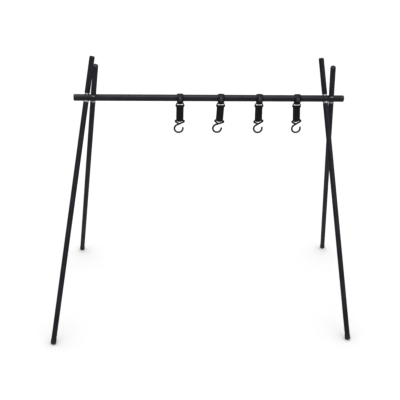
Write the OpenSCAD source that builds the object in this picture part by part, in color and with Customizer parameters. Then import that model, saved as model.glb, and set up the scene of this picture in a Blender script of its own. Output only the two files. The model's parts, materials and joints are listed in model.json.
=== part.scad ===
// Free-standing camp hanging rack: a crossbar in two halves, four crossed legs
// held through the bar by screw-on top tubes, and four strap hooks on the bar.
// Millimetres. +X runs along the crossbar to the right, +Y to the rear, +Z up.
// The origin is on the ground, below the middle of the crossbar.

/* [Crossbar] */
// Length over both end caps
bar_len = 800; // [700:10:900]
// Outside diameter of the crossbar
bar_d = 19; // [18:0.5:20]
// Wall thickness of the crossbar
bar_wall = 1.5; // [1.2:0.1:1.8]
// Height of the crossbar axis above the ground
bar_height = 697; // [600:1:760]
// Visible length of each end cap
bar_cap_len = 9; // [6:1:12]
// Length of the spigot that joins the two halves
bar_spigot_len = 100; // [80:2:120]

/* [Legs] */
// Outside diameter of the legs and top tubes
leg_d = 15; // [14.5:0.5:15.5]
// Wall thickness of the legs and top tubes
leg_wall = 1.2; // [1:0.1:1.4]
// Lean of every leg from the vertical
leg_lean = 22.4; // [20:0.1:24]
// Plan angle between the crossbar and a leg in an outer hole
outer_plan_angle = 66.3; // [64:0.1:68]
// Plan angle between the crossbar and a leg in an inner hole
inner_plan_angle = 71.3; // [69:0.1:73]
// Distance of the outer holes from the middle of the bar
outer_hole_x = 363; // [355:1:370]
// Distance of the inner holes from the middle of the bar
inner_hole_x = 344; // [335:1:346]
// Distance along a leg from the bar axis to the top of the top cap
top_len = 120; // [100:1:140]
// Distance along a leg from the bar axis to the joint between leg and shin
leg_split = 386; // [340:1:400]

/* [Leg joints] */
// Stud diameter
stud_d = 8; // [7:0.5:8]
// Distance from the bar axis to the seats of the leg and the top tube
seat = 13.5; // [13:0.1:15]
// Diameter of the washer under the top tube
washer_d = 13; // [12:0.5:14]
// Length of stud inside the top tube
stud_grip = 24.5; // [20:0.5:26]
// Length of the threaded insert in the top tube
insert_len = 30; // [28:1:40]
// Diameter of the insert's neck, which carries the washer
neck_d = 10.4; // [9.8:0.1:10.6]
// Length of the spigot between leg and shin
leg_spigot_len = 80; // [60:2:100]

/* [Strap hooks] */
// Position of hook 1 along the bar
hook_1_x = -90; // [-110:1:-80]
// Position of hook 2 along the bar
hook_2_x = 31; // [25:1:40]
// Position of hook 3 along the bar
hook_3_x = 146; // [135:1:155]
// Position of hook 4 along the bar
hook_4_x = 260; // [250:1:270]
// Width of the loop round the bar
loop_w = 20; // [18:1:22]
// Width of the strap
strap_w = 20; // [18:1:20]
// Distance between the two fold axes of the strap
strap_drop = 44.4; // [38:0.1:50]
// Wire diameter of the hook
hook_wire_d = 4.2; // [4:0.1:4.3]
// Mean radius of the hook bowl
bowl_r = 12.7; // [12.2:0.1:13.2]

/* [Hidden] */
$fn = 48;
CORNERS = ["left_front", "left_rear", "right_front", "right_rear"];
HOOKS = [1, 2, 3, 4];
BAR_NODES = [
    "crossbar_tube_left", "crossbar_tube_right", "crossbar_spigot",
    "crossbar_cap_left", "crossbar_cap_right"
];
LEG_PARTS = [
    "leg_tube", "leg_fittings", "shin_tube", "foot",
    "top_washer", "top_tube", "top_insert", "top_cap"
];
HOOK_PARTS = ["hook_loop", "hook_snap", "hook_ring", "hook_strap", "hook_wire"];

// Radial gaps: a sliding tube joint, a stud in its thread, and a loose hole
slide_gap = 0.05;
thread_gap = 0.05;
loose_gap = 0.3;
seat_gap = 0.03;
overrun = 1;

// Step of the chamfers that round an edge; the ground cuts a foot between two of them
edge_step = 18;

bar_bore = bar_d - 2 * bar_wall;
leg_bore = leg_d - 2 * leg_wall;
stud_hole = stud_d + 2 * loose_gap;
bar_hole_grip = 8.2;
leg_plug_len = 30;
spigot_wall = 2;
insert_neck_len = 2.4;
ground_reach = bar_height / cos(leg_lean);

bar_cap_edge = 2;
bar_plug_len = 12;
top_cap_len = 4.5;
top_cap_edge = 2.8;
top_plug_len = 10;

foot_d = leg_d + 1.2;
foot_len = 15;
foot_pocket = 9.5;
foot_edge = 4;
foot_press = 0.4;

loop_gap = 0.15;
loop_r = 12.4;
neck_w = 14;
neck_t = 6.4;
eye_drop = 15.4;
eye_r = 2;
eye_outer_r = 3.6;
snap_r = 6.4;
snap_depth = 14.3;
snap_dome_r = 14;
snap_post_r = 1.9;
snap_hole_r = 2;
snap_post_top = 10.2;

ring_wire_r = 1.5;
ring_top_w = 18;
ring_low_w = 26;
ring_drop = 11;
ring_hang = 0.4;
bend_ball = 0.3;

strap_t = 4.2;
ring_fold_r = 3.2;
ring_fold_bore_r = 2.4;
hook_fold_r = 3.4;
hook_fold_bore_r = 2.5;
strap_low_w = 7;
strap_tail = 5;

eye_half_w = 12.9;
crossing = [-3.6, -10.8];
crossing_back = 1.6;
bowl_centre = [-3, -25.5];
bowl_start = 123.1;
bowl_sweep = 245;

// Hanging angle of each ring, strap and wire hook, towards -X, in degrees
ring_lean = [0, 1, 0, -1];
strap_lean = [0, 1, -2, -4];
wire_lean = [0, 5, -5, -4];

black_tube = [0.13, 0.13, 0.14];
black_plastic = [0.08, 0.08, 0.08];
black_strap = [0.10, 0.10, 0.11];
bare_metal = [0.75, 0.75, 0.76];
dark_wire = [0.25, 0.25, 0.26];

function hole_x(c) = [-outer_hole_x, -inner_hole_x, inner_hole_x, outer_hole_x][c];

// Plan angle towards which the top of each leg leans
function lean_turn(c) = [
    outer_plan_angle, -inner_plan_angle,
    180 - inner_plan_angle, 180 + outer_plan_angle
][c];

function hook_x(i) = [hook_1_x, hook_2_x, hook_3_x, hook_4_x][i - 1];

// Half outline of a round plug head: radius r, height h, top edge rounded by e
function rounded_outline(r, h, e) = concat(
    [[0, 0], [r, 0]],
    [for (a = [0 : edge_step : 90]) [r - e + e * cos(a), h - e + e * sin(a)]],
    [[0, h]]
);

module along_x(d, x1, x2) {
    translate([x1, 0, 0]) rotate([0, 90, 0]) cylinder(d = d, h = x2 - x1);
}

module at_bar() {
    translate([0, 0, bar_height]) children();
}

// The frame of a leg: origin on the bar axis, +Z up the leg
module at_leg(c) {
    translate([hole_x(c), 0, bar_height]) rotate([0, leg_lean, lean_turn(c)]) children();
}

module at_loop(i) {
    translate([hook_x(i), 0, bar_height]) children();
}

module at_ring(i) {
    at_loop(i) translate([0, 0, -eye_drop - ring_hang]) rotate([0, ring_lean[i - 1], 0]) children();
}

module at_strap(i) {
    at_ring(i) translate([0, 0, -ring_drop]) rotate([0, strap_lean[i - 1], 0]) children();
}

module at_wire(i) {
    at_strap(i) translate([0, 0, -strap_drop]) rotate([0, wire_lean[i - 1], 0]) children();
}

// A straight piece of round wire with a flat end on each point
module wire_between(p, q, r) {
    v = q - p;
    turn = atan2(v[1], v[0]);
    tip = acos(v[2] / norm(v));
    translate(p) rotate([0, tip, turn]) cylinder(r = r, h = norm(v));
}

// ---- Crossbar ----

module stud_holes(corners) {
    for (c = corners) at_leg(c) cylinder(d = stud_hole, h = 2 * bar_d, center = true);
}

module crossbar_tube(x1, x2, corners) {
    color(black_tube) difference() {
        at_bar() along_x(bar_d, x1, x2);
        at_bar() along_x(bar_bore, x1 - overrun, x2 + overrun);
        stud_holes(corners);
    }
}

module crossbar_tube_left() {
    crossbar_tube(-bar_len / 2 + bar_cap_len, 0, [0, 1]);
}

module crossbar_tube_right() {
    crossbar_tube(0, bar_len / 2 - bar_cap_len, [2, 3]);
}

module crossbar_spigot() {
    half = bar_spigot_len / 2;
    color(bare_metal) at_bar() difference() {
        along_x(bar_bore - 2 * slide_gap, -half, half);
        along_x(bar_bore - 2 * spigot_wall, -half - overrun, half + overrun);
    }
}

module crossbar_cap() {
    color(black_plastic) rotate([0, 90, 0]) union() {
        rotate_extrude() polygon(rounded_outline(bar_d / 2, bar_cap_len, bar_cap_edge));
        translate([0, 0, -bar_plug_len]) cylinder(d = bar_bore - 2 * seat_gap, h = bar_plug_len + overrun);
    }
}

module crossbar_cap_left() {
    at_bar() translate([-bar_len / 2 + bar_cap_len, 0, 0]) rotate([0, 0, 180]) crossbar_cap();
}

module crossbar_cap_right() {
    at_bar() translate([bar_len / 2 - bar_cap_len, 0, 0]) crossbar_cap();
}

// ---- Legs ----

module leg_tube(c) {
    color(black_tube) at_leg(c) translate([0, 0, -leg_split]) difference() {
        cylinder(d = leg_d, h = leg_split - seat);
        translate([0, 0, -overrun]) cylinder(d = leg_bore, h = leg_split);
    }
}

// Collar that beds on the bar from below or from above
module saddle(c, d, low, high) {
    difference() {
        at_leg(c) translate([0, 0, low]) cylinder(d = d, h = high - low);
        at_bar() along_x(bar_d + 2 * slide_gap, -bar_len / 2, bar_len / 2);
    }
}

// Stud fitting at the top of the leg, and spigot at its bottom
module leg_fittings(c) {
    half = leg_spigot_len / 2;
    color(bare_metal) {
        union() {
            saddle(c, leg_d, -seat, -bar_hole_grip);
            at_leg(c) translate([0, 0, -seat]) cylinder(d = stud_d, h = 2 * seat + stud_grip);
            at_leg(c) translate([0, 0, -seat - leg_plug_len])
                cylinder(d = leg_bore - 2 * seat_gap, h = leg_plug_len);
        }
        at_leg(c) translate([0, 0, -leg_split - half]) difference() {
            cylinder(d = leg_bore - 2 * slide_gap, h = leg_spigot_len);
            translate([0, 0, -overrun]) cylinder(d = leg_bore - 2 * spigot_wall, h = leg_spigot_len + 2 * overrun);
        }
    }
}

module shin_tube(c) {
    low = ground_reach - foot_len + foot_pocket - foot_press;
    color(black_tube) at_leg(c) translate([0, 0, -low]) difference() {
        cylinder(d = leg_d, h = low - leg_split);
        translate([0, 0, -overrun]) cylinder(d = leg_bore, h = low);
    }
}

// Rubber foot: a round-nosed cup on the end of the shin, worn flat on the ground
module foot(c) {
    top = ground_reach - foot_len - foot_press;
    color(black_plastic) difference() {
        at_leg(c) translate([0, 0, -top]) mirror([0, 0, 1]) rotate([0, 0, 90]) difference() {
            rotate_extrude() polygon(rounded_outline(foot_d / 2, foot_len, foot_edge));
            translate([0, 0, -overrun]) cylinder(d = leg_d + 2 * seat_gap, h = foot_pocket + overrun);
        }
        translate([-bar_len, -bar_len, -2 * foot_d]) cube([2 * bar_len, 2 * bar_len, 2 * foot_d]);
    }
}

// ---- Top tubes ----

// Saddle washer held on the neck of the insert, so that it lifts with the top tube
module top_washer(c) {
    color(bare_metal) difference() {
        saddle(c, washer_d, bar_hole_grip, seat);
        at_leg(c) cylinder(d = neck_d + 2 * thread_gap, h = 2 * seat);
    }
}

module top_tube(c) {
    color(black_tube) at_leg(c) translate([0, 0, seat]) difference() {
        cylinder(d = leg_d, h = top_len - top_cap_len - seat);
        translate([0, 0, -overrun]) cylinder(d = leg_bore, h = top_len);
    }
}

module top_insert(c) {
    color(bare_metal) at_leg(c) translate([0, 0, seat]) difference() {
        union() {
            cylinder(d = leg_bore - 2 * seat_gap, h = insert_len);
            translate([0, 0, -insert_neck_len]) cylinder(d = neck_d, h = insert_neck_len + overrun);
        }
        translate([0, 0, -seat]) cylinder(d = stud_d + 2 * thread_gap, h = 2 * seat + insert_len);
    }
}

module top_cap(c) {
    color(black_plastic) at_leg(c) translate([0, 0, top_len - top_cap_len]) union() {
        rotate_extrude() polygon(rounded_outline(leg_d / 2, top_cap_len, top_cap_edge));
        translate([0, 0, -top_plug_len]) cylinder(d = leg_bore - 2 * seat_gap, h = top_plug_len + overrun);
    }
}

// ---- Strap hooks ----

module hook_loop(i) {
    color(black_strap) at_loop(i) difference() {
        union() {
            along_x(2 * loop_r, -loop_w / 2, loop_w / 2);
            translate([-neck_w / 2, -neck_t / 2, -eye_drop]) cube([neck_w, neck_t, eye_drop]);
            translate([0, 0, -eye_drop]) along_x(2 * eye_outer_r, -neck_w / 2, neck_w / 2);
        }
        along_x(bar_d + 2 * loop_gap, -loop_w, loop_w);
        translate([0, 0, -eye_drop]) along_x(2 * eye_r, -loop_w, loop_w);
        rotate([90, 0, 0]) cylinder(r = snap_hole_r, h = 2 * loop_r);
    }
}

// Domed snap cap on the front of the loop, with the post that goes through it
module hook_snap(i) {
    color(dark_wire) at_loop(i) rotate([90, 0, 0]) union() {
        difference() {
            intersection() {
                cylinder(r = snap_r, h = 2 * loop_r);
                translate([0, 0, snap_depth - snap_dome_r]) sphere(r = snap_dome_r);
            }
            rotate([0, 90, 0]) cylinder(r = loop_r, h = 2 * loop_w, center = true);
        }
        translate([0, 0, snap_post_top]) cylinder(r = snap_post_r, h = snap_depth - snap_post_top - overrun);
    }
}

// Ring of round wire: a short top bar in the loop, a long low bar in the strap
module hook_ring(i) {
    corners = [
        [-ring_top_w / 2, 0, 0], [ring_top_w / 2, 0, 0],
        [ring_low_w / 2, 0, -ring_drop], [-ring_low_w / 2, 0, -ring_drop]
    ];
    color(dark_wire) at_ring(i) union() {
        for (k = [0 : 3]) wire_between(corners[k], corners[(k + 1) % 4], ring_wire_r);
        for (p = corners) translate(p) sphere(r = ring_wire_r + bend_ball);
    }
}

// Webbing sewn face to face, folded round the ring above and the hook below
module hook_strap(i) {
    color(black_strap) at_strap(i) difference() {
        union() {
            along_x(2 * ring_fold_r, -strap_w / 2, strap_w / 2);
            translate([-strap_w / 2, -strap_t / 2, -strap_drop + strap_tail])
                cube([strap_w, strap_t, strap_drop - strap_tail]);
            translate([-strap_low_w / 2, -strap_t / 2, -strap_drop])
                cube([strap_low_w, strap_t, strap_drop]);
            translate([0, 0, -strap_drop]) along_x(2 * hook_fold_r, -strap_low_w / 2, strap_low_w / 2);
        }
        along_x(2 * ring_fold_bore_r, -strap_w, strap_w);
        translate([0, 0, -strap_drop]) along_x(2 * hook_fold_bore_r, -strap_w, strap_w);
    }
}

// One bent wire: a triangular eye whose end closes on the shank, and a round bowl
module hook_wire(i) {
    r = hook_wire_d / 2;
    left = [-eye_half_w, 0, 0];
    right = [eye_half_w, 0, 0];
    closing = [crossing[0], crossing_back, crossing[1]];
    mid = [bowl_centre[0], 0, bowl_centre[1]];
    start = mid + bowl_r * [cos(bowl_start), 0, sin(bowl_start)];
    tip = mid + bowl_r * [cos(bowl_start + bowl_sweep), 0, sin(bowl_start + bowl_sweep)];
    color(dark_wire) at_wire(i) union() {
        wire_between(closing, left, r);
        wire_between(left, right, r);
        wire_between(right, start, r);
        for (p = [left, right, start, tip]) translate(p) sphere(r = r + bend_ball);
        translate(mid) rotate([90, 0, 0]) rotate([0, 0, bowl_start])
            rotate_extrude(angle = bowl_sweep) translate([bowl_r, 0]) circle(r = r);
    }
}

// ---- Assembly ----

crossbar_tube_left();
crossbar_tube_right();
crossbar_spigot();
crossbar_cap_left();
crossbar_cap_right();

for (c = [0 : 3]) {
    leg_tube(c);
    leg_fittings(c);
    shin_tube(c);
    foot(c);
    top_washer(c);
    top_tube(c);
    top_insert(c);
    top_cap(c);
}

for (i = HOOKS) {
    hook_loop(i);
    hook_snap(i);
    hook_ring(i);
    hook_strap(i);
    hook_wire(i);
}
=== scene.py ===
"""Looks of the camp hanging rack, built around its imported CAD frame.

Lengths in this file are millimetres, in the local frame of a leg, a hook part or the bar;
place() turns them into metres in the shared frame.
"""
import json
import math

import bmesh
import bpy
from mathutils import Matrix, Vector


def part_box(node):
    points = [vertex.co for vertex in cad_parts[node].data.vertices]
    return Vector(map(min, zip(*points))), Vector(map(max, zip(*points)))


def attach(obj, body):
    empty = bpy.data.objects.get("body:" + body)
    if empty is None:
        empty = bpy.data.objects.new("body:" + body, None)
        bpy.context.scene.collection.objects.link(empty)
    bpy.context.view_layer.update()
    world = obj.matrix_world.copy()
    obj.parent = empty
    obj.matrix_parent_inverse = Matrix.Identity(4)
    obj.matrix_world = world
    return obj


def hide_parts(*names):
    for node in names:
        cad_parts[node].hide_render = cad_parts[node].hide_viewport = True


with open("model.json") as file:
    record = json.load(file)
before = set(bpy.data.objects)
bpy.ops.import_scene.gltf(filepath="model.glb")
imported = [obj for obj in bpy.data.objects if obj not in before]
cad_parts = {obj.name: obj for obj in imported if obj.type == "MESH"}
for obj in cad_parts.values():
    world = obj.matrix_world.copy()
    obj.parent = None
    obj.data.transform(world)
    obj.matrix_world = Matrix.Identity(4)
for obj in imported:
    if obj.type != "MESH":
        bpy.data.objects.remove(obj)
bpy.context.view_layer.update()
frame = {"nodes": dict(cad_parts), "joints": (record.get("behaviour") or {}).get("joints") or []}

MM = 0.001
TAU = 2 * math.pi
MERGE_M = 2e-7
DEGENERATE_M = 1e-8
SHARP_DEG = 40
TURNED_SHARP_DEG = 32
CORNERS = ["left_front", "left_rear", "right_front", "right_rear"]
HOOKS = [1, 2, 3, 4]
JOINTS = {j["name"]: j for j in frame["joints"]}
WORLD_UP = Vector((0, 0, 1))
TO_REAR = Vector((0, 1, 0))
ALONG_BAR = Vector((1, 0, 0))

# ---------------------------------------------------------------- local frames


def axes_to_matrix(origin, x, y, z):
    """A frame in metres from its origin and three unit axes."""
    m = Matrix((x, y, z)).transposed().to_4x4()
    m.translation = origin
    return m


def middle(node):
    low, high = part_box(node)
    return (low + high) / 2


BAR_CENTRE = Vector((0, 0, middle("crossbar_spigot").z))


def bar_frame(x_mm=0.0):
    """Origin on the bar's axis, X along the bar, Z up."""
    origin = BAR_CENTRE + ALONG_BAR * x_mm * MM
    return axes_to_matrix(origin, ALONG_BAR, TO_REAR, WORLD_UP)


def leg_frame(corner):
    """Origin where a leg's axis meets the bar's axis, Z up the leg."""
    joint = JOINTS["top_turn_" + corner]
    up = Vector(joint["axis"]).normalized()
    seat = Vector(joint["pos_m"])
    origin = seat - up * ((seat.z - BAR_CENTRE.z) / up.z)
    x = TO_REAR.cross(up).normalized()
    return axes_to_matrix(origin, x, up.cross(x), up)


def swing_frame(joint_name):
    """Origin on a hinge that swings about the bar's direction, Z up."""
    joint = JOINTS[joint_name]
    x = Vector(joint["axis"]).normalized()
    return axes_to_matrix(Vector(joint["pos_m"]), x, TO_REAR, x.cross(TO_REAR))


# ---------------------------------------------------------------- mesh tools


def place(name, verts, faces, local, body, material, sharp_deg=SHARP_DEG, replaces=()):
    """A mesh from millimetres in a local frame, riding on a body."""
    mesh = bpy.data.meshes.new(name)
    mesh.from_pydata([local @ (Vector(v) * MM) for v in verts], [], faces)
    bm = bmesh.new()
    bm.from_mesh(mesh)
    bmesh.ops.remove_doubles(bm, verts=bm.verts, dist=MERGE_M)
    bmesh.ops.dissolve_degenerate(bm, edges=bm.edges, dist=DEGENERATE_M)
    bmesh.ops.recalc_face_normals(bm, faces=bm.faces)
    bm.to_mesh(mesh)
    bm.free()
    mesh.shade_smooth()
    mesh.set_sharp_from_angle(angle=math.radians(sharp_deg))
    mesh.materials.append(material)
    obj = bpy.data.objects.new(name, mesh)
    bpy.context.scene.collection.objects.link(obj)
    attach(obj, body)
    if replaces:
        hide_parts(*replaces)
    return obj


def smooth_step(t):
    """0 up to t = 0, 1 from t = 1, and a smooth rise between them."""
    t = min(1.0, max(0.0, t))
    return t * t * (3 - 2 * t)


def unit(degrees):
    """The unit vector at an angle in a plane."""
    a = math.radians(degrees)
    return (math.cos(a), math.sin(a))


def joined(parts):
    """One (verts, faces) from several."""
    verts, faces = [], []
    for v, f in parts:
        base = len(verts)
        verts += list(v)
        faces += [[i + base for i in face] for face in f]
    return verts, faces


def lathe(outline, segments=72, closed=True):
    """Turns (radius, height) points about Z. A closed outline joins its last point to its first."""
    verts, faces = [], []
    rows = len(outline)
    for r, z in outline:
        for k in range(segments):
            a = TAU * k / segments
            verts.append((r * math.cos(a), r * math.sin(a), z))
    for i in range(rows if closed else rows - 1):
        j = (i + 1) % rows
        for k in range(segments):
            m = (k + 1) % segments
            faces.append([i * segments + k, i * segments + m, j * segments + m, j * segments + k])
    return verts, faces


def arc(cx, cy, r, a0, a1, steps):
    """Points of an arc in degrees, both ends included."""
    return [
        (cx + r * math.cos(math.radians(a0 + (a1 - a0) * i / steps)),
         cy + r * math.sin(math.radians(a0 + (a1 - a0) * i / steps)))
        for i in range(steps + 1)
    ]


def bezier(p0, d0, p1, d1, reach, steps):
    """Points of a curve from p0 heading d0 to p1 heading d1, without its two ends."""
    p0, p1 = Vector(p0), Vector(p1)
    h0 = p0 + Vector(d0).normalized() * reach
    h1 = p1 - Vector(d1).normalized() * reach
    points = []
    for i in range(1, steps):
        t = i / steps
        s = 1 - t
        points.append(tuple(p0 * s ** 3 + h0 * (3 * s * s * t) + h1 * (3 * s * t * t) + p1 * t ** 3))
    return points


def fillet(points, radii, closed, step_deg=8.0):
    """A polyline whose corners are rounded to arcs."""
    pts = [Vector(p) for p in points]
    n = len(pts)
    out = []
    for i, p in enumerate(pts):
        if not closed and i in (0, n - 1):
            out.append(p)
            continue
        a = (pts[i - 1] - p).normalized()
        b = (pts[(i + 1) % n] - p).normalized()
        inner = a.angle(b)
        turn = math.pi - inner
        r = radii[i]
        away = r / math.tan(inner / 2)
        centre = p + (a + b).normalized() * (r / math.sin(inner / 2))
        start = p + a * away - centre
        axis = start.cross(p + b * away - centre).normalized()
        steps = max(3, int(math.degrees(turn) / step_deg))
        for k in range(steps + 1):
            out.append(centre + Matrix.Rotation(turn * k / steps, 3, axis) @ start)
    return out


def sweep(path, radius, ring=24, closed=False):
    """Round wire along a path, with domed ends."""
    pts = [Vector(p) for p in path]
    n = len(pts)
    tangents = []
    for i in range(n):
        before = pts[i - 1] if (i > 0 or closed) else pts[i]
        after = pts[(i + 1) % n] if (i < n - 1 or closed) else pts[i]
        tangents.append((after - before).normalized())
    side = tangents[0].orthogonal().normalized()
    stations = []
    for i in range(n):
        if i:
            side = tangents[i - 1].rotation_difference(tangents[i]) @ side
        side = (side - tangents[i] * side.dot(tangents[i])).normalized()
        stations.append((pts[i], tangents[i], side.copy(), radius))
    if not closed:
        dome_rings, least = 5, 0.02
        dome = [k * math.pi / 2 / dome_rings for k in range(dome_rings)]
        p, t, s, r = stations[0]
        start = [(p - t * r * math.cos(a), t, s, r * max(math.sin(a), least)) for a in dome]
        p, t, s, r = stations[-1]
        end = [(p + t * r * math.cos(a), t, s, r * max(math.sin(a), least)) for a in reversed(dome)]
        stations = start + stations + end
    verts, faces = [], []
    for p, t, s, r in stations:
        u = t.cross(s)
        for k in range(ring):
            a = TAU * k / ring
            verts.append(p + s * (r * math.cos(a)) + u * (r * math.sin(a)))
    rows = len(stations)
    for i in range(rows if closed else rows - 1):
        j = (i + 1) % rows
        for k in range(ring):
            m = (k + 1) % ring
            faces.append([i * ring + k, i * ring + m, j * ring + m, j * ring + k])
    if not closed:
        faces.append(list(range(ring)))
        faces.append([(rows - 1) * ring + k for k in reversed(range(ring))])
    return verts, faces


def lengths_along(path, closed):
    total, out = 0.0, [0.0]
    n = len(path)
    for i in range(1, n + (1 if closed else 0)):
        total += (Vector(path[i % n]) - Vector(path[i - 1])).length
        out.append(total)
    return out


def resample(path, pitch, closed):
    """The same path with even steps of about the given pitch."""
    lengths = lengths_along(path, closed)
    total = lengths[-1]
    count = max(8, int(round(total / pitch)))
    pts = list(path) + ([path[0]] if closed else [])
    out, k = [], 0
    for i in range(count if closed else count + 1):
        s = total * i / count
        while k < len(lengths) - 2 and lengths[k + 1] < s:
            k += 1
        span = max(lengths[k + 1] - lengths[k], 1e-9)
        t = min(max((s - lengths[k]) / span, 0.0), 1.0)
        out.append(tuple(Vector(pts[k]).lerp(Vector(pts[k + 1]), t)))
    return out


def band(path, closed, half_width, thickness, relief=None, columns=40, outward=1.0, crown=None):
    """A strap of cloth or leather along a path in the (y, z) plane, wide along x.

    half_width(s) is half its width at length s. relief(x, s) is added to its outer face, and
    crown(s) is how far its middle stands out above its edges.
    outward is 1 when the outer face is on the left of the path's direction, and -1 on its right.
    """
    n = len(path)
    lengths = lengths_along(path, closed)
    verts, faces = [], []
    back_columns = 10
    edge_power = 10
    ring = columns + back_columns
    for i in range(n):
        p = Vector(path[i])
        before = Vector(path[i - 1]) if (i > 0 or closed) else p
        after = Vector(path[(i + 1) % n]) if (i < n - 1 or closed) else p
        t = (after - before).normalized()
        normal = Vector((-t.y, t.x)) * outward
        s = lengths[i]
        w = half_width(s)
        for k in range(ring):
            if k < columns:
                u = -1 + 2 * k / (columns - 1)
                face_side = 1
            else:
                u = 1 - 2 * (k - columns + 1) / (back_columns + 1)
                face_side = -1
            edge = math.sqrt(max(0.0, 1 - abs(u) ** edge_power))
            off = face_side * thickness / 2 * edge
            if crown:
                off += crown(s) * (1 - u * u)
            if face_side == 1 and relief:
                off += relief(u * w, s) * edge
            q = p + normal * off
            verts.append((u * w, q.x, q.y))
    for i in range(n if closed else n - 1):
        j = (i + 1) % n
        for k in range(ring):
            m = (k + 1) % ring
            faces.append([i * ring + k, i * ring + m, j * ring + m, j * ring + k])
    if not closed:
        faces.append(list(range(ring)))
        faces.append([(n - 1) * ring + k for k in reversed(range(ring))])
    return verts, faces


def stitch_row(points, normals, length, radius):
    """One raised stitch between each pair of points, sunk a little into the cloth at both ends."""
    parts = []
    spans = 6
    for (p, q), n in zip(points, normals):
        p, q, n = Vector(p), Vector(q), Vector(n)
        d = (q - p).normalized()
        mid = (p + q) / 2
        path = []
        for k in range(spans + 1):
            t = -1 + 2 * k / spans
            lift = radius * (1.0 - 1.5 * t * t)
            path.append(mid + d * (t * length / 2) + n * lift)
        parts.append(sweep(path, radius, ring=8))
    return joined(parts)


# ---------------------------------------------------------------- material tools


class Shader:
    """A node material under construction, with short calls for the nodes that repeat."""

    def __init__(self, name):
        self.material = bpy.data.materials.new(name)
        self.material.use_nodes = True
        self.tree = self.material.node_tree
        self.tree.nodes.clear()
        self.output = self.node("ShaderNodeOutputMaterial")
        self.bsdf = self.node("ShaderNodeBsdfPrincipled")
        self.link(self.bsdf.outputs[0], self.output.inputs[0])
        self.coords = self.node("ShaderNodeTexCoord").outputs["Object"]

    def node(self, kind, **values):
        n = self.tree.nodes.new(kind)
        for key, value in values.items():
            setattr(n, key, value)
        return n

    def link(self, a, b):
        self.tree.links.new(a, b)

    def set(self, name, value):
        self.bsdf.inputs[name].default_value = value

    def aligned(self, axis, origin):
        """Coordinates with Z along an axis and the origin on it, in metres."""
        turn = Vector(axis).rotation_difference(WORLD_UP)
        mapping = self.node("ShaderNodeMapping", vector_type="POINT")
        mapping.inputs["Rotation"].default_value = turn.to_euler()
        mapping.inputs["Location"].default_value = -(turn @ Vector(origin))
        self.link(self.coords, mapping.inputs["Vector"])
        return mapping.outputs[0]

    def scaled(self, vector, x, y, z):
        mapping = self.node("ShaderNodeMapping", vector_type="POINT")
        mapping.inputs["Scale"].default_value = (x, y, z)
        self.link(vector, mapping.inputs["Vector"])
        return mapping.outputs[0]

    def noise(self, vector, scale, detail=4.0, roughness=0.55):
        n = self.node("ShaderNodeTexNoise")
        n.inputs["Scale"].default_value = scale
        n.inputs["Detail"].default_value = detail
        n.inputs["Roughness"].default_value = roughness
        self.link(vector, n.inputs["Vector"])
        return n.outputs[0]

    def cells(self, vector, scale, feature="F1"):
        n = self.node("ShaderNodeTexVoronoi", feature=feature)
        n.inputs["Scale"].default_value = scale
        self.link(vector, n.inputs["Vector"])
        return n.outputs["Distance"]

    def waves(self, vector, scale, direction="Z", profile="SIN"):
        n = self.node("ShaderNodeTexWave", bands_direction=direction, wave_profile=profile)
        n.inputs["Scale"].default_value = scale
        self.link(vector, n.inputs["Vector"])
        return n.outputs["Fac"]

    def spread(self, value, low, high, to_low=0.0, to_high=1.0):
        n = self.node("ShaderNodeMapRange")
        for key, v in zip(("From Min", "From Max", "To Min", "To Max"), (low, high, to_low, to_high)):
            n.inputs[key].default_value = v
        self.link(value, n.inputs["Value"])
        return n.outputs[0]

    def math(self, operation, a, b):
        n = self.node("ShaderNodeMath", operation=operation)
        for slot, v in zip(n.inputs, (a, b)):
            if isinstance(v, (int, float)):
                slot.default_value = v
            else:
                self.link(v, slot)
        return n.outputs[0]

    def mix(self, factor, a, b):
        """A blend of two colours, each three numbers or a node's output."""
        n = self.node("ShaderNodeMix", data_type="RGBA")
        self.link(factor, n.inputs["Factor"])
        for slot, colour in (("A", a), ("B", b)):
            if isinstance(colour, tuple):
                n.inputs[slot].default_value = (*colour, 1)
            else:
                self.link(colour, n.inputs[slot])
        return n.outputs["Result"]

    def bump(self, heights):
        """Bump nodes in a chain: (height, distance in mm) pairs, coarse first."""
        last = None
        for height, distance in heights:
            n = self.node("ShaderNodeBump")
            n.inputs["Strength"].default_value = 1.0
            n.inputs["Distance"].default_value = distance * MM
            self.link(height, n.inputs["Height"])
            if last:
                self.link(last, n.inputs["Normal"])
            last = n.outputs[0]
        self.link(last, self.bsdf.inputs["Normal"])


def anodised(name, axis, origin):
    """Satin black anodised tube, drawn along its axis."""
    s = Shader(name)
    along = s.aligned(axis, origin)
    streaks = s.noise(s.scaled(along, 1, 1, 0.012), 900, 3)
    grain = s.noise(along, 5200, 2)
    patches = s.noise(along, 14, 3)
    scuffs = s.spread(s.noise(s.scaled(along, 1, 1, 0.15), 420, 5, 0.7), 0.66, 0.74)
    tone = s.mix(s.spread(patches, 0.35, 0.65), (0.034, 0.0325, 0.041), (0.048, 0.046, 0.0575))
    worn = s.mix(s.math("MULTIPLY", scuffs, 0.22), tone, (0.16, 0.16, 0.165))
    s.link(worn, s.bsdf.inputs["Base Color"])
    streaky = s.spread(streaks, 0.3, 0.7, 0.30, 0.40)
    rough = s.math("ADD", streaky, s.spread(patches, 0.3, 0.7, -0.03, 0.04))
    s.link(rough, s.bsdf.inputs["Roughness"])
    s.set("Specular IOR Level", 0.28)
    s.set("Specular Tint", (0.98, 0.965, 1.0, 1))
    s.bump([(streaks, 0.0035), (grain, 0.0022)])
    return s.material


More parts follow.
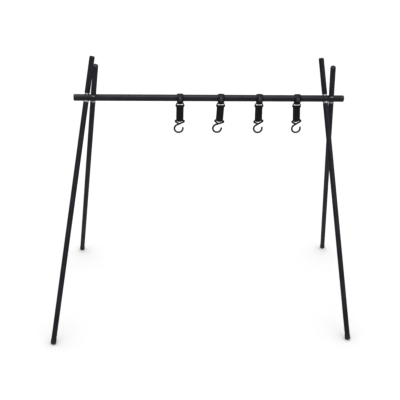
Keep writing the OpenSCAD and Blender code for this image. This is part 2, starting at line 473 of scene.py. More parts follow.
def turned_metal(name, axis, origin, base=(0.56, 0.56, 0.57)):
    """Bare aluminium off a lathe, with fine turning marks round its axis."""
    s = Shader(name)
    along = s.aligned(axis, origin)
    marks = s.noise(s.scaled(along, 0.04, 0.04, 1), 6500, 2)
    patches = s.noise(along, 160, 3)
    tone = s.mix(s.spread(patches, 0.35, 0.7), base, tuple(0.86 * c for c in base))
    s.link(tone, s.bsdf.inputs["Base Color"])
    s.link(s.spread(marks, 0.3, 0.7, 0.24, 0.40), s.bsdf.inputs["Roughness"])
    s.set("Metallic", 0.6)
    s.bump([(marks, 0.006)])
    return s.material


def moulded(name, base, rough, texture_scale, texture_depth, dusty=0.0):
    """Plastic or rubber with a spark-eroded mould texture, and dust low down if dusty."""
    s = Shader(name)
    texture = s.noise(s.coords, texture_scale, 3)
    patches = s.noise(s.coords, 60, 3)
    light = tuple(c * 1.7 for c in base)
    tone = s.mix(s.spread(patches, 0.35, 0.65), base, light)
    if dusty:
        height = s.node("ShaderNodeSeparateXYZ")
        s.link(s.coords, height.inputs[0])
        low = s.spread(height.outputs["Z"], 0.009, 0.0, 0.0, dusty)
        speckle = s.math("MULTIPLY", low, s.spread(s.noise(s.coords, 900, 5), 0.35, 0.65))
        tone = s.mix(speckle, tone, (0.18, 0.172, 0.158))
    s.link(tone, s.bsdf.inputs["Base Color"])
    s.link(s.spread(patches, 0.3, 0.7, rough - 0.05, rough + 0.06), s.bsdf.inputs["Roughness"])
    s.bump([(texture, texture_depth)])
    return s.material


def coated_wire(name, base, rough):
    """Dark plated or powder-coated wire with an uneven satin skin."""
    s = Shader(name)
    skin = s.noise(s.coords, 1500, 3)
    patches = s.noise(s.coords, 220, 4)
    wear = s.spread(s.noise(s.coords, 520, 5, 0.7), 0.62, 0.72)
    tone = s.mix(s.math("MULTIPLY", wear, 0.5), base, tuple(min(1, c * 2.4) for c in base))
    s.link(tone, s.bsdf.inputs["Base Color"])
    s.link(s.spread(patches, 0.3, 0.7, rough - 0.06, rough + 0.08), s.bsdf.inputs["Roughness"])
    s.set("Metallic", 0.35)
    s.set("Specular IOR Level", 0.4)
    s.bump([(patches, 0.02), (skin, 0.006)])
    return s.material


def leather(name):
    """Smooth black leather: a pebbled grain with fine pores."""
    s = Shader(name)
    pebbles = s.cells(s.coords, 1500, "SMOOTH_F1")
    pores = s.noise(s.coords, 4200, 4)
    creases = s.noise(s.coords, 260, 4, 0.65)
    s.link(s.mix(s.spread(creases, 0.35, 0.65), (0.013, 0.0126, 0.014), (0.024, 0.0232, 0.026)),
           s.bsdf.inputs["Base Color"])
    s.link(s.spread(pebbles, 0.1, 0.7, 0.42, 0.56), s.bsdf.inputs["Roughness"])
    s.set("Specular IOR Level", 0.3)
    s.bump([(creases, 0.05), (pebbles, 0.04), (pores, 0.008)])
    return s.material


def webbing(name):
    """Woven black polyester: fine yarns over the modelled ribs, with a soft sheen."""
    s = Shader(name)
    yarn = s.noise(s.scaled(s.coords, 1, 1, 0.25), 5200, 3)
    picks = s.waves(s.coords, 140, "Z")
    patches = s.noise(s.coords, 300, 3)
    s.link(s.mix(s.spread(patches, 0.3, 0.7), (0.014, 0.0136, 0.0165), (0.029, 0.0282, 0.034)),
           s.bsdf.inputs["Base Color"])
    s.link(s.spread(yarn, 0.3, 0.7, 0.62, 0.85), s.bsdf.inputs["Roughness"])
    s.set("Specular IOR Level", 0.25)
    s.set("Sheen Weight", 0.08)
    s.set("Sheen Roughness", 0.5)
    s.bump([(picks, 0.02), (yarn, 0.03)])
    return s.material


def thread(name):
    """Bonded nylon thread, twisted."""
    s = Shader(name)
    twist = s.waves(s.coords, 900, "DIAGONAL")
    fuzz = s.noise(s.coords, 6000, 2)
    s.link(s.mix(twist, (0.030, 0.030, 0.034), (0.058, 0.058, 0.065)), s.bsdf.inputs["Base Color"])
    s.link(s.spread(fuzz, 0.3, 0.7, 0.5, 0.7), s.bsdf.inputs["Roughness"])
    s.bump([(twist, 0.03)])
    return s.material


# ---------------------------------------------------------------- crossbar

bar_black = anodised("bar_black", ALONG_BAR, BAR_CENTRE)
bar_metal = turned_metal("bar_metal", ALONG_BAR, BAR_CENTRE)
cap_plastic = moulded("cap_plastic", (0.027, 0.0265, 0.028), 0.52, 2600, 0.02)
foot_rubber = moulded("foot_rubber", (0.031, 0.0305, 0.032), 0.68, 1800, 0.03, dusty=0.35)

BAR_R = 9.5
BAR_CAP_LEN = 9.0
BAR_BORE_R = 8.0


def finish_node(node, material):
    """Gives a carried-over CAD node its material."""
    mesh = frame["nodes"][node].data
    mesh.materials.clear()
    mesh.materials.append(material)


def bar_cap(side, body):
    """Moulded end plug: a grooved rim, a dished face and a ribbed tail inside the tube."""
    sign = -1 if side == "left" else 1
    half_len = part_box("crossbar_cap_right")[1].x / MM
    local = bar_frame(sign * (half_len - BAR_CAP_LEN))
    turn = Matrix.Rotation(sign * math.pi / 2, 4, "Y")
    outline = [(0, BAR_CAP_LEN - 0.9), (5.2, BAR_CAP_LEN - 0.9), (5.8, BAR_CAP_LEN - 0.55)]
    outline += [(6.4, BAR_CAP_LEN - 0.05), (6.9, BAR_CAP_LEN)]
    outline += [(r, z) for r, z in reversed(arc(BAR_R - 2.0, BAR_CAP_LEN - 2.0, 2.0, 0, 85, 8))]
    outline += [(BAR_R, 0.75), (BAR_R - 0.12, 0.45), (BAR_R - 0.45, 0.15), (BAR_R - 0.5, 0.0)]
    outline += [(BAR_BORE_R - 0.05, 0.0)]
    for k in range(3):
        z = -2.0 - 3.0 * k
        outline += [(7.3, z + 0.6), (BAR_BORE_R - 0.04, z), (7.3, z - 0.8)]
    outline += [(7.0, -11.5), (6.2, -12.0), (0, -12.0)]
    verts, faces = lathe(outline, closed=False)
    place("bar_cap_" + side, verts, faces, local @ turn, body, cap_plastic,
          replaces=["crossbar_cap_" + side])


for side in ("left", "right"):
    finish_node("crossbar_tube_" + side, bar_black)
    bar_cap(side, "crossbar_" + side)
finish_node("crossbar_spigot", bar_metal)

# ---------------------------------------------------------------- legs

# Heights along a leg are measured from the bar's axis.
LEG_R = 7.5
LEG_BORE_R = 6.3
STUD_R = 4.0
STUD_CORE_R = 3.45
THREAD_PITCH = 1.25
SEAT = 13.5
STUD_GRIP = 24.5
TOP_CAP_LEN = 4.5
CAP_EDGE = 2.8
LEG_PLUG_LEN = 30.0
LEG_SPIGOT_HALF = 40.0
BED_R = 9.55
BAR_HOLE_GRIP = 8.2
NECK_R = 5.25
WASHER_R = 6.5
FOOT_R = 8.1


def thread_radius(angle, z, end):
    """Radius of a stud at an angle and a height: a V thread that fades out at the stud's end."""
    phase = (z / THREAD_PITCH - angle / TAU) % 1.0
    ridge = 1 - abs(2 * phase - 1)
    ridge = min(1.0, max(0.0, (ridge - 0.08) / 0.8))
    fade = min(1.0, max(0.0, (end - z) / 1.2))
    root = STUD_CORE_R - 0.5 * (1 - fade)
    return root + (STUD_R - STUD_CORE_R) * ridge * fade


def threaded_rod(start, end):
    """A stud with a real helical thread between two heights."""
    segments = 48
    step = THREAD_PITCH / 8
    rows = int((end - start) / step)
    verts, faces = [], []
    for i in range(rows + 1):
        z = start + (end - start) * i / rows
        for k in range(segments):
            a = TAU * k / segments
            r = thread_radius(a, z, end)
            verts.append((r * math.cos(a), r * math.sin(a), z))
    for i in range(rows):
        for k in range(segments):
            m = (k + 1) % segments
            low, high = i * segments, (i + 1) * segments
            faces.append([low + k, low + m, high + m, high + k])
    faces.append(list(reversed(range(segments))))
    faces.append([rows * segments + k for k in range(segments)])
    return verts, faces


def top_cap(corner, local, top):
    """Domed plug in the top of a top tube, with a thin shadow line at its rim."""
    base = top - TOP_CAP_LEN
    outline = [(0, top)] + [(r, z) for r, z in reversed(arc(LEG_R - 3.1, top - 3.1, 3.0, 4, 88, 10))]
    outline += [(LEG_R - 0.05, base + 0.7), (LEG_R - 0.2, base + 0.3), (LEG_R - 0.5, base + 0.12)]
    outline += [(LEG_R - 0.55, base), (LEG_BORE_R - 0.05, base), (LEG_BORE_R - 0.05, base - 8)]
    outline += [(5.4, base - 10), (0, base - 10)]
    verts, faces = lathe(outline, closed=False)
    place("top_plug_" + corner, verts, faces, local, "top_" + corner, cap_plastic,
          replaces=["top_cap_" + corner])


def cap_height(corner, origin, up):
    """Height of a top cap above the bar's axis along the leg, in millimetres.

    The cap's highest point lies on its rounded edge, towards the upright.
    """
    lean = math.acos(up.z)
    flat_r = LEG_R - CAP_EDGE
    highest = (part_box("top_cap_" + corner)[1].z - origin.z) / MM
    return (highest - CAP_EDGE - flat_r * math.sin(lean)) / math.cos(lean) + CAP_EDGE


def foot_cup(corner, local, reach):
    """Rubber cup with a rolled lip and grip rings, worn flat where it stands."""
    nose = -reach
    lip = nose + 15.0
    outline = [(LEG_R + 0.02, lip - 0.3)] + list(reversed(arc(LEG_R + 0.3, lip - 0.3, 0.28, 0, 170, 6)))
    outline += [(FOOT_R, lip - 1.2)]
    for k in range(3):
        z = lip - 4.0 - 1.9 * k
        outline += [(FOOT_R, z + 0.45), (FOOT_R - 0.3, z + 0.2)]
        outline += [(FOOT_R - 0.3, z - 0.2), (FOOT_R, z - 0.45)]
    outline += [(r, z) for r, z in arc(FOOT_R - 4.0, nose + 4.0, 4.0, 0, -88, 14)]
    outline += [(0, nose)]
    verts, faces = lathe(outline, 96, closed=False)
    inner = [(LEG_R + 0.02, lip - 0.3), (LEG_R + 0.02, nose + 5.5), (0, nose + 5.5)]
    inner_verts, inner_faces = lathe(inner, 96, closed=False)
    verts, faces = joined([(verts, faces), (inner_verts, inner_faces)])
    foot = place("foot_cup_" + corner, verts, faces, local, "shin_" + corner,
                 foot_rubber, replaces=["foot_" + corner])
    bm = bmesh.new()
    bm.from_mesh(foot.data)
    geometry = list(bm.verts) + list(bm.edges) + list(bm.faces)
    ground, up = (0, 0, 0), (0, 0, 1)
    cut = bmesh.ops.bisect_plane(bm, geom=geometry, plane_co=ground, plane_no=up, clear_inner=True)
    rim = [e for e in cut["geom_cut"] if isinstance(e, bmesh.types.BMEdge)]
    bmesh.ops.holes_fill(bm, edges=rim, sides=0)
    bmesh.ops.recalc_face_normals(bm, faces=bm.faces)
    bm.to_mesh(foot.data)
    bm.free()
    foot.data.shade_smooth()
    foot.data.set_sharp_from_angle(angle=math.radians(SHARP_DEG))


def saddle(local, r_in, r_out, side):
    """A turned collar from its flat seat to the round of the bar: side is 1 above the bar, -1 below."""
    bar = local.to_3x3().inverted() @ ALONG_BAR
    inward = -side

    def bed(x, y):
        along = x * bar.x + y * bar.y
        k = 1 - bar.z ** 2
        rest = x * x + y * y - along ** 2 - BED_R ** 2
        z = (bar.z * along + side * math.sqrt((bar.z * along) ** 2 - k * rest)) / k
        return side * max(abs(z), BAR_HOLE_GRIP)

    seat_rings = [(r_in, 0.0), (r_out - 0.45, 0.0), (r_out, 0.4), (r_out, 1.0), (r_out - 0.25, 1.15)]
    seat_rings += [(r_out - 0.25, 1.45), (r_out, 1.6)]
    bed_rings = [(r_out, 0.3), (r_out - 0.3, 0.0)]
    bed_rings += [(r_in + (r_out - 0.3 - r_in) * (1 - k / 4), 0.0) for k in range(1, 5)]
    segments = 72
    verts, faces = [], []
    for r, off in seat_rings:
        for k in range(segments):
            a = TAU * k / segments
            verts.append((r * math.cos(a), r * math.sin(a), side * SEAT + inward * off))
    for r, off in bed_rings:
        for k in range(segments):
            a = TAU * k / segments
            x, y = r * math.cos(a), r * math.sin(a)
            verts.append((x, y, bed(x, y) - inward * off))
    rows = len(seat_rings) + len(bed_rings)
    for i in range(rows):
        j = (i + 1) % rows
        for k in range(segments):
            m = (k + 1) % segments
            faces.append([i * segments + k, i * segments + m, j * segments + m, j * segments + k])
    return verts, faces


def stud_fitting(corner, local, metal, split):
    """Saddle collar, threaded stud and plug at the top of a leg, and the spigot at its bottom."""
    thread_start = 10.2
    thread_end = SEAT + STUD_GRIP
    shank = lathe([(0, -SEAT), (STUD_R - 0.05, -SEAT), (STUD_R - 0.05, thread_start - 0.8),
                   (STUD_CORE_R, thread_start), (0, thread_start)], 48, closed=False)
    rod = threaded_rod(thread_start - 0.1, thread_end)
    out_r = LEG_BORE_R - 0.05
    plug = [(0, -SEAT), (out_r, -SEAT)]
    for k in range(4):
        z = -SEAT - 4.0 - 6.5 * k
        plug += [(out_r, z), (out_r - 0.45, z - 0.5), (out_r - 0.45, z - 1.5), (out_r, z - 2)]
    plug += [(out_r - 0.55, -SEAT - LEG_PLUG_LEN), (0, -SEAT - LEG_PLUG_LEN)]
    parts = [saddle(local, STUD_R - 0.2, LEG_R, -1), shank, rod, lathe(plug, 64, closed=False)]
    verts, faces = joined(parts)
    place("stud_fitting_" + corner, verts, faces, local, "leg_" + corner,
          metal, TURNED_SHARP_DEG, replaces=["leg_fittings_" + corner])
    in_r = LEG_BORE_R - 2.0
    low, high = -split - LEG_SPIGOT_HALF, -split + LEG_SPIGOT_HALF
    groove = -split - 8.0
    spigot = [(in_r, low + 0.5), (in_r + 0.4, low), (out_r - 0.8, low), (out_r, low + 1.2)]
    spigot += [(out_r, groove - 1.0), (out_r - 0.3, groove - 0.7)]
    spigot += [(out_r - 0.3, groove + 0.7), (out_r, groove + 1.0)]
    spigot += [(out_r, high - 1.2), (out_r - 0.8, high), (in_r + 0.4, high), (in_r, high - 0.5)]
    verts, faces = lathe(spigot, 72)
    place("leg_spigot_" + corner, verts, faces, local, "leg_" + corner,
          metal, TURNED_SHARP_DEG)


def split_of(corner, origin, up):
    """Distance down the leg from the bar's axis to the joint between leg and shin."""
    lowest = (origin.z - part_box("leg_tube_" + corner)[0].z) / MM
    return (lowest - LEG_R * math.sin(math.acos(up.z))) / up.z


def leg(corner):
    local = leg_frame(corner)
    up = local.to_3x3().col[2]
    origin = local.translation
    black = anodised("tube_black_" + corner, up, origin)
    metal = turned_metal("turned_" + corner, up, origin)
    for part in ("leg_tube_", "shin_tube_", "top_tube_"):
        finish_node(part + corner, black)
    finish_node("top_insert_" + corner, metal)
    stud_fitting(corner, local, metal, split_of(corner, origin, up))
    verts, faces = saddle(local, NECK_R, WASHER_R, 1)
    place("saddle_washer_" + corner, verts, faces, local, "top_washer_" + corner,
          metal, TURNED_SHARP_DEG, replaces=["top_washer_" + corner])
    reach = origin.z / up.z / MM - 0.4
    top_cap(corner, local, cap_height(corner, origin, up))
    foot_cup(corner, local, reach)


for corner in CORNERS:
    leg(corner)

# ---------------------------------------------------------------- strap hooks

loop_leather = leather("loop_leather")
sewing = thread("sewing")
snap_metal = coated_wire("snap_metal", (0.11, 0.11, 0.12), 0.17)
ring_metal = coated_wire("ring_metal", (0.050, 0.050, 0.056), 0.32)
hook_metal = coated_wire("hook_metal", (0.044, 0.044, 0.048), 0.38)
strap_cloth = webbing("strap_cloth")

# Angles round the bar are measured from its top towards the front, and those of the eye from the rear.
LEATHER = 1.5
EYE_DROP = 15.8
RING_R = 1.6
EYE_PLAY = 0.95
INNER_R = BAR_R + 0.15 + LEATHER / 2
LOOP_CROWN = 0.6
SKIVE = 0.75
OUTER_R = INNER_R + LEATHER + 0.06
NECK_HALF = 7.3
BAND_HALF = 9.2
NECK_FADE = 10
TAB_R = 10.5
TAB_LEAST = 0.6
CROWN_LENGTH = 34
FLAT_HALF_DEG = 26
FLAT_FADE_DEG = 14
LOOP_START_DEG = -36
LEAVE_DEG = 112
LAP_FROM_DEG = -76
LAP_TO_DEG = -42
LOOP_END_DEG = 138
EYE_FROM_DEG = 202
EYE_TO_DEG = 338
LOOP_STEP = 0.7
STITCH_INSET = 1.5


def around(radius, degrees):
    """(y, z) at an angle from the top of the bar towards the front."""
    a = math.radians(degrees)
    return (-radius * math.sin(a), radius * math.cos(a))


def loop_path():
    """From behind the bar's top, over it, down the front, round the ring, up the back and over again."""
    lap_r = OUTER_R - LOOP_CROWN
    eye_r = RING_R + EYE_PLAY + LEATHER / 2
    reach = 5.0
    across, down = unit(LEAVE_DEG)
    down_front = [around(INNER_R, a) for a in range(LOOP_START_DEG, LEAVE_DEG + 1, 4)]
    eye = arc(0, -EYE_DROP, eye_r, EYE_FROM_DEG, EYE_TO_DEG, 16)
    to_eye = bezier(down_front[-1], (-across, -down), eye[0], unit(EYE_FROM_DEG + 90), reach, 12)
    back = [around(INNER_R, -a) for a in range(LEAVE_DEG, -LAP_FROM_DEG - 1, -4)]
    from_eye = bezier(eye[-1], unit(EYE_TO_DEG + 90), back[0], (-across, down), reach, 12)
    rise = []
    for k in range(1, 10):
        t = k / 10
        r = INNER_R + (lap_r - INNER_R) * smooth_step(t)
        rise.append(around(r, LAP_FROM_DEG + (LAP_TO_DEG - LAP_FROM_DEG) * t))
    over = []
    for a in range(LAP_TO_DEG, LOOP_END_DEG + 1, 3):
        off = abs(a - 90)
        flat = lap_r / math.cos(math.radians(min(off, FLAT_HALF_DEG)))
        edge = smooth_step(1 - max(0.0, (off - FLAT_HALF_DEG) / FLAT_FADE_DEG))
        over.append(around(lap_r + (flat - lap_r) * edge, a))
    return down_front + to_eye + eye + from_eye + back + rise + over


def leather_loop(i):
    """One long band of leather, lapped over itself, that ends in a round tab under the snap."""
    path = resample(loop_path(), LOOP_STEP, False)
    lengths = lengths_along(path, False)
    eye_k = min(range(len(path)), key=lambda k: path[k][1])
    eye_at = lengths[eye_k]
    front = [k for k in range(eye_k + 1, len(path)) if path[k][0] < -8]
    snap_at = lengths[min(front, key=lambda k: abs(path[k][1]))]

    def half_width(s):
        narrows = BAND_HALF - NECK_HALF
        if s < eye_at:
            return BAND_HALF - narrows * smooth_step((s - eye_at + 12.5) / NECK_FADE)
        past_snap = s - snap_at
        disc = math.sqrt(max(0.0, TAB_R ** 2 - past_snap ** 2))
        if past_snap > 0:
            return max(disc, TAB_LEAST)
        return max(NECK_HALF + narrows * smooth_step((s - eye_at - 2.5) / NECK_FADE), disc)

    def skived(x, s):
        return -SKIVE * min(1.0, abs(x) / half_width(s)) ** 3

    def crown(s):
        return LOOP_CROWN * smooth_step((s - snap_at + CROWN_LENGTH) / NECK_FADE)

    path = [p for p, s in zip(path, lengths) if s <= snap_at + TAB_R]
    verts, faces = band(path, False, half_width, LEATHER, skived, columns=22, outward=-1.0,
                        crown=crown)
    local = bar_frame(JOINTS[f"ring_swing_{i}"]["pos_m"][0] / MM)
    body = f"hook_loop_{i}"
    place(f"loop_band_{i}", verts, faces, local, body, loop_leather, 50,
          replaces=[f"hook_loop_{i}"])
    rows, normals = [], []
    pitch, length = 2.3, 1.7
    first, last = eye_at + 7, snap_at + 4
    for sign in (-1, 1):
        s = first
        while s < last:
            k0 = min(range(len(path)), key=lambda k: abs(lengths[k] - s))
            k1 = min(range(len(path)), key=lambda k: abs(lengths[k] - s - length))
            p, q = Vector(path[k0]), Vector(path[k1])
            t = (q - p).normalized()
            n = Vector((t.y, -t.x))
            full = half_width(s + length / 2)
            w = full - STITCH_INSET
            off = LEATHER / 2 - 0.05 + skived(w, s) + crown(s) * (1 - (w / full) ** 2)
            a = p + n * off
            b = q + n * off
            rows.append(((sign * w, a.x, a.y), (sign * w, b.x, b.y)))
            normals.append((0, n.x, n.y))
            s += pitch
    verts, faces = stitch_row(rows, normals, length, 0.24)
    place(f"loop_stitching_{i}", verts, faces, local, body, sewing)
    return local


def snap_button(i, local):
    """Domed cap with a rolled rim on the front of the loop, and its rivet through both layers."""
    face = OUTER_R + LEATHER / 2
    turn = Matrix.Rotation(math.pi / 2, 4, "X")
    rim_r, dome_r = 6.3, 5.2
    outline = [(0, face - 3.0), (1.8, face - 3.0), (1.8, face - 0.5), (rim_r - 0.6, face - 0.75)]
    outline += arc(rim_r - 0.55, face + 0.1, 0.55, -90, 110, 10)
    outline += [(dome_r + 0.15, face + 0.42)]
    dome_top = face + 1.75
    for k in range(1, 13):
        t = k / 12
        r = dome_r * math.cos(t * math.pi / 2)
        z = face + 0.42 + (dome_top - face - 0.42) * math.sin(t * math.pi / 2)
        outline.append((r, z))
    verts, faces = lathe(outline, 64, closed=False)
    place(f"snap_cap_{i}", verts, faces, local @ turn, f"hook_loop_{i}", snap_metal,
          replaces=[f"hook_snap_{i}"])


RING_TOP_HALF = 9.0
RING_LOW_HALF = 13.0
RING_DROP = 11.0


def wire_ring(i):
    corners = [
        (-RING_TOP_HALF, 0, 0), (RING_TOP_HALF, 0, 0),
        (RING_LOW_HALF, 0, -RING_DROP), (-RING_LOW_HALF, 0, -RING_DROP),
    ]
    path = fillet(corners, [2.4, 2.4, 2.6, 2.6], True)
    verts, faces = sweep(path, RING_R, closed=True)
    place(f"ring_wire_{i}", verts, faces, swing_frame(f"ring_swing_{i}"), f"hook_ring_{i}",
          ring_metal, replaces=[f"hook_ring_{i}"])


STRAP_HALF = 10.6
STRAP_DROP = 44.4
STRAP_PLY = 1.5
WIRE_R = 2.35
RING_FOLD_R = RING_R + 1.3 + STRAP_PLY / 2
HOOK_FOLD_R = WIRE_R + 0.2 + STRAP_PLY / 2
SEAM_GAP = STRAP_PLY / 2 + 0.05
RIBS = 11
FOLD_NARROWS = 5.0
FOLD_SHIFT = -0.8
STITCH_EDGE = 7.6


def strap_path():
    """Round the ring's bar, down the rear, round the hook's bar and up the front."""
    wrap = 18
    top = arc(0, 0, RING_FOLD_R, 180 + wrap, -wrap, 26)
    low = arc(0, -STRAP_DROP, HOOK_FOLD_R, wrap, -180 - wrap, 26)
    heading_out = unit(-90 - wrap)
    heading_in = unit(-90 + wrap)
    join_top, join_low = -8.5, -STRAP_DROP + 9.5
    down = bezier(top[-1], heading_out, (SEAM_GAP, join_top), (0, -1), 3.2, 10)
    straight = [(SEAM_GAP, join_top), (SEAM_GAP, join_low)]
    flare = bezier(straight[-1], (0, -1), low[0], heading_in, 3.2, 10)
    rear = down + straight + flare
    front = [(-y, z) for y, z in reversed(rear)]
    return top + rear + low + front


def webbing_relief(x, s):
    """Ribs along the strap, crossed by the weft, in millimetres."""
    rib = math.cos(x / STRAP_HALF * RIBS * math.pi)
    pick = math.cos(s * TAU / 1.3 + (math.pi if rib < 0 else 0))
    return 0.10 * rib + 0.045 * pick


def strap_crown(x, z):
    """How far a face of the strap stands out between its folds, more in the middle than at the edges."""
    return 0.35 * (1 - (x / STRAP_HALF) ** 2) * smooth_step(min(-z - 3, z + STRAP_DROP - 4) / 6)


def near_hook(z):
    """0 in the strap's upper half, and a smooth rise to 1 at its lower fold."""
    return smooth_step((-z - 20) / (STRAP_DROP - 24))


def strap(i):
    local = swing_frame(f"strap_swing_{i}")
    ring_x = Vector(JOINTS[f"ring_swing_{i}"]["axis"])
    hook_x = Vector(JOINTS[f"hook_swing_{i}"]["axis"])
    to_local = local.to_3x3().inverted()
    ring_dir = to_local @ ring_x
    hook_dir = to_local @ hook_x
    ring_slope = ring_dir.z / ring_dir.x
    hook_slope = hook_dir.z / hook_dir.x
    path = resample(strap_path(), 0.42, True)
    total = lengths_along(path, True)[-1]

    def half_width(s):
        k = min(int(s / total * len(path)), len(path) - 1)
        z = path[k][1] + STRAP_DROP
        return STRAP_HALF - FOLD_NARROWS * smooth_step((3.0 - z) / 6.0)

    verts, faces = band(path, True, half_width, STRAP_PLY, webbing_relief, columns=68, outward=1.0)
    shaped = []
    for x, y, z in verts:
        near_ring = smooth_step((z + 14) / 12)
        sag = 0.02 * x * x * smooth_step((3 - (z + STRAP_DROP)) / 6)
        shift = x * (hook_slope * near_hook(z) + ring_slope * near_ring)
        aside = FOLD_SHIFT * smooth_step((3.0 - z - STRAP_DROP) / 6.0)
        shaped.append((x + aside, y + math.copysign(strap_crown(x, z), y), z + shift + sag))
    place(f"strap_web_{i}", shaped, faces, local, f"hook_strap_{i}", strap_cloth, 60,
          replaces=[f"hook_strap_{i}"])
    strap_sewing(i, local, hook_slope)


def strap_sewing(i, local, hook_slope):
    """Two rows of stitches near the edges and four across, on each face."""
    rows, normals = [], []
    length, pitch = 2.0, 2.5
    top_z, low_z = -9.0, -STRAP_DROP + 10.0

    def at(face, x, z):
        y = SEAM_GAP + STRAP_PLY / 2 + 0.08 + strap_crown(x, z)
        return Vector((x, face * y, z + x * hook_slope * near_hook(z)))

    for face in (-1, 1):
        for x in (-STITCH_EDGE, STITCH_EDGE):
            z = top_z
            while z - length > low_z:
                rows.append((at(face, x, z), at(face, x, z - length)))
                normals.append((0, face, 0))
                z -= pitch
        for z in (top_z + 1.0, top_z - 2.5, low_z + 2.5, low_z - 1.0):
            x = -7.0
            while x + length < 7.4:
                rows.append((at(face, x, z), at(face, x + length, z)))
                normals.append((0, face, 0))
                x += pitch
    verts, faces = stitch_row(rows, normals, length, 0.27)
    place(f"strap_stitching_{i}", verts, faces, local, f"hook_strap_{i}", sewing)


EYE_CORNER = Vector((10.7, 0, -2.35))
EYE_BEND_R = 2.35
BOWL_CENTRE = Vector((-3.0, 0, -25.5))
BOWL_R = 12.7
TIP_DEG = 4.0


def hook_path():
    """The wire's line: from the weld on the shank, round the eye, down the shank and round the bowl."""
    between = BOWL_CENTRE - EYE_CORNER
    base = math.atan2(between.z, between.x)
    cross = math.asin((EYE_BEND_R + BOWL_R) / between.length)
    heading = base - cross
    d = Vector((math.cos(heading), 0, math.sin(heading)))
    left = Vector((-d.z, 0, d.x))
    shank_top = EYE_CORNER + left * EYE_BEND_R
    shank_low = BOWL_CENTRE - left * BOWL_R
    weld = shank_top.lerp(shank_low, 0.66)
    corner = Vector((-EYE_CORNER.x, 0, EYE_CORNER.z))
    to_corner = corner - weld
    reach = to_corner.length
    lean = math.asin(EYE_BEND_R / reach)
    climb = math.atan2(to_corner.z, to_corner.x) + lean
    climb_dir = Vector((math.cos(climb), 0, math.sin(climb)))
    climb_left = Vector((-climb_dir.z, 0, climb_dir.x))
    first = corner + climb_left * EYE_BEND_R
    a0 = math.degrees(math.atan2((first - corner).z, (first - corner).x)) % 360
    eye_left = [(x, 0, z) for x, z in arc(corner.x, corner.z, EYE_BEND_R, a0, 90, 12)]
    a1 = math.degrees(math.atan2((shank_top - EYE_CORNER).z, (shank_top - EYE_CORNER).x))
    eye_right = [(x, 0, z) for x, z in arc(EYE_CORNER.x, EYE_CORNER.z, EYE_BEND_R, 90, a1, 14)]
    b0 = math.degrees(math.atan2((shank_low - BOWL_CENTRE).z, (shank_low - BOWL_CENTRE).x))
    bowl = [(x, 0, z) for x, z in arc(BOWL_CENTRE.x, BOWL_CENTRE.z, BOWL_R, b0, 360 + TIP_DEG, 44)]
    tip = Vector(bowl[-1]) + Vector((0.1, 0, 1.0)) * 1.2
    return [tuple(weld)] + eye_left + eye_right + bowl + [tuple(tip)]


def wire_hook(i):
    verts, faces = sweep(hook_path(), WIRE_R, ring=28)
    place(f"hook_bend_{i}", verts, faces, swing_frame(f"hook_swing_{i}"), f"hook_wire_{i}",
          hook_metal, replaces=[f"hook_wire_{i}"])


for i in HOOKS:
    loop_local = leather_loop(i)
    snap_button(i, loop_local)
    wire_ring(i)
    strap(i)
    wire_hook(i)

# ---------------------------------------------------------------- floor, light and camera

ROOM_LIGHT = 1.17
ROOM_SIDE = 0.18
ROOM_TOP = 1.7
ROOM_BELOW = 0.70
VIEW_GAMMA = 0.7
LIGHTS = [
    ("key", (3.0, 0.9), 46, (-0.3, -0.5, 2.6), (0, 0, 0.5)),
    ("front", (0.7, 0.9), 11, (-0.35, -3.2, 1.0), (0, 0, 0.6)),
    ("fill", (1.6, 1.6), 17, (2.4, -1.6, 1.4), (0, 0, 0.4)),
]
CAMERA_LENS = 60.4
CAMERA_AT = Vector((-0.1788, -1.880, 1.3766))
CAMERA_TURN, CAMERA_DROP, CAMERA_ROLL = -4.79, 28.46, 1.9


def area_light(name, size, power, position, target):
    """A soft box that is seen in reflections only, so that the floor stays evenly white."""
    light = bpy.data.lights.new(name, "AREA")
    light.shape = "RECTANGLE"
    light.size, light.size_y = size
    light.energy = power
    obj = bpy.data.objects.new(name, light)
    obj.location = position
    direction = Vector(target) - Vector(position)
    obj.rotation_euler = direction.to_track_quat("-Z", "Y").to_euler()
    obj.visible_diffuse = False
    bpy.context.scene.collection.objects.link(obj)


def floor():
    s = Shader("floor_pale")
    fine = s.noise(s.coords, 220, 3)
    s.link(s.mix(fine, (0.86, 0.86, 0.86), (0.90, 0.90, 0.90)), s.bsdf.inputs["Base Color"])
    s.set("Roughness", 0.9)
    half = 14.0
    mesh = bpy.data.meshes.new("floor")
    corners = [(-half, -half, 0), (half, -half, 0), (half, half, 0), (-half, half, 0)]
    mesh.from_pydata(corners, [], [[0, 1, 2, 3]])
    mesh.materials.append(s.material)
    obj = bpy.data.objects.new("floor", mesh)
    obj.visible_glossy = False
    bpy.context.scene.collection.objects.link(obj)


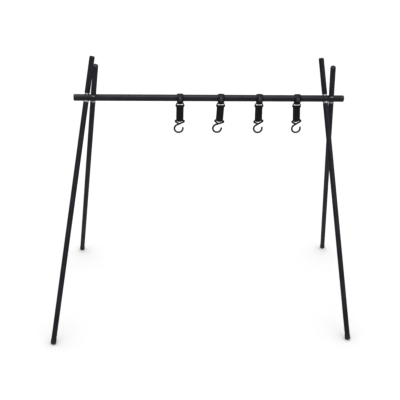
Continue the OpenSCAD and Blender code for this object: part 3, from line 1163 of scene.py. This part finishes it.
def studio_world():
    """An even white room for the floor, which in reflections is dim at the sides."""
    world = bpy.data.worlds.new("studio")
    world.use_nodes = True
    tree = world.node_tree
    background = tree.nodes["Background"]
    coords = tree.nodes.new("ShaderNodeTexCoord")
    split = tree.nodes.new("ShaderNodeSeparateXYZ")
    tree.links.new(coords.outputs["Generated"], split.inputs[0])
    halves = []
    for values in ((0.1, 0.95, ROOM_SIDE, ROOM_TOP), (-0.3, -1.0, 0.0, ROOM_BELOW)):
        half = tree.nodes.new("ShaderNodeMapRange")
        for key, value in zip(("From Min", "From Max", "To Min", "To Max"), values):
            half.inputs[key].default_value = value
        tree.links.new(split.outputs["Z"], half.inputs["Value"])
        halves.append(half)
    mirror = tree.nodes.new("ShaderNodeMath")
    for half, socket in zip(halves, mirror.inputs):
        tree.links.new(half.outputs[0], socket)
    path = tree.nodes.new("ShaderNodeLightPath")
    level = tree.nodes.new("ShaderNodeMix")
    tree.links.new(path.outputs["Is Glossy Ray"], level.inputs["Factor"])
    level.inputs["A"].default_value = ROOM_LIGHT
    tree.links.new(mirror.outputs[0], level.inputs["B"])
    background.inputs["Color"].default_value = (1, 1, 1, 1)
    tree.links.new(level.outputs["Result"], background.inputs["Strength"])
    bpy.context.scene.world = world


def camera():
    """Stands left of the middle and looks down a little, as a product photograph does."""
    turn, drop, roll = (math.radians(a) for a in (CAMERA_TURN, CAMERA_DROP, CAMERA_ROLL))
    ahead = Vector((-math.sin(turn), math.cos(turn), 0))
    right = Vector((math.cos(turn), math.sin(turn), 0))
    down = -WORLD_UP
    look = ahead * math.cos(drop) + down * math.sin(drop)
    below = down * math.cos(drop) - ahead * math.sin(drop)
    x = right * math.cos(roll) - below * math.sin(roll)
    y = -(right * math.sin(roll) + below * math.cos(roll))
    data = bpy.data.cameras.new("camera")
    data.lens = CAMERA_LENS
    obj = bpy.data.objects.new("camera", data)
    obj.matrix_world = axes_to_matrix(CAMERA_AT, x, y, -look)
    bpy.context.scene.collection.objects.link(obj)
    bpy.context.scene.camera = obj


floor()
studio_world()
for name, size, power, position, target in LIGHTS:
    area_light(name, size, power, position, target)
bpy.context.scene.view_settings.view_transform = "Standard"
bpy.context.scene.view_settings.gamma = VIEW_GAMMA
camera()
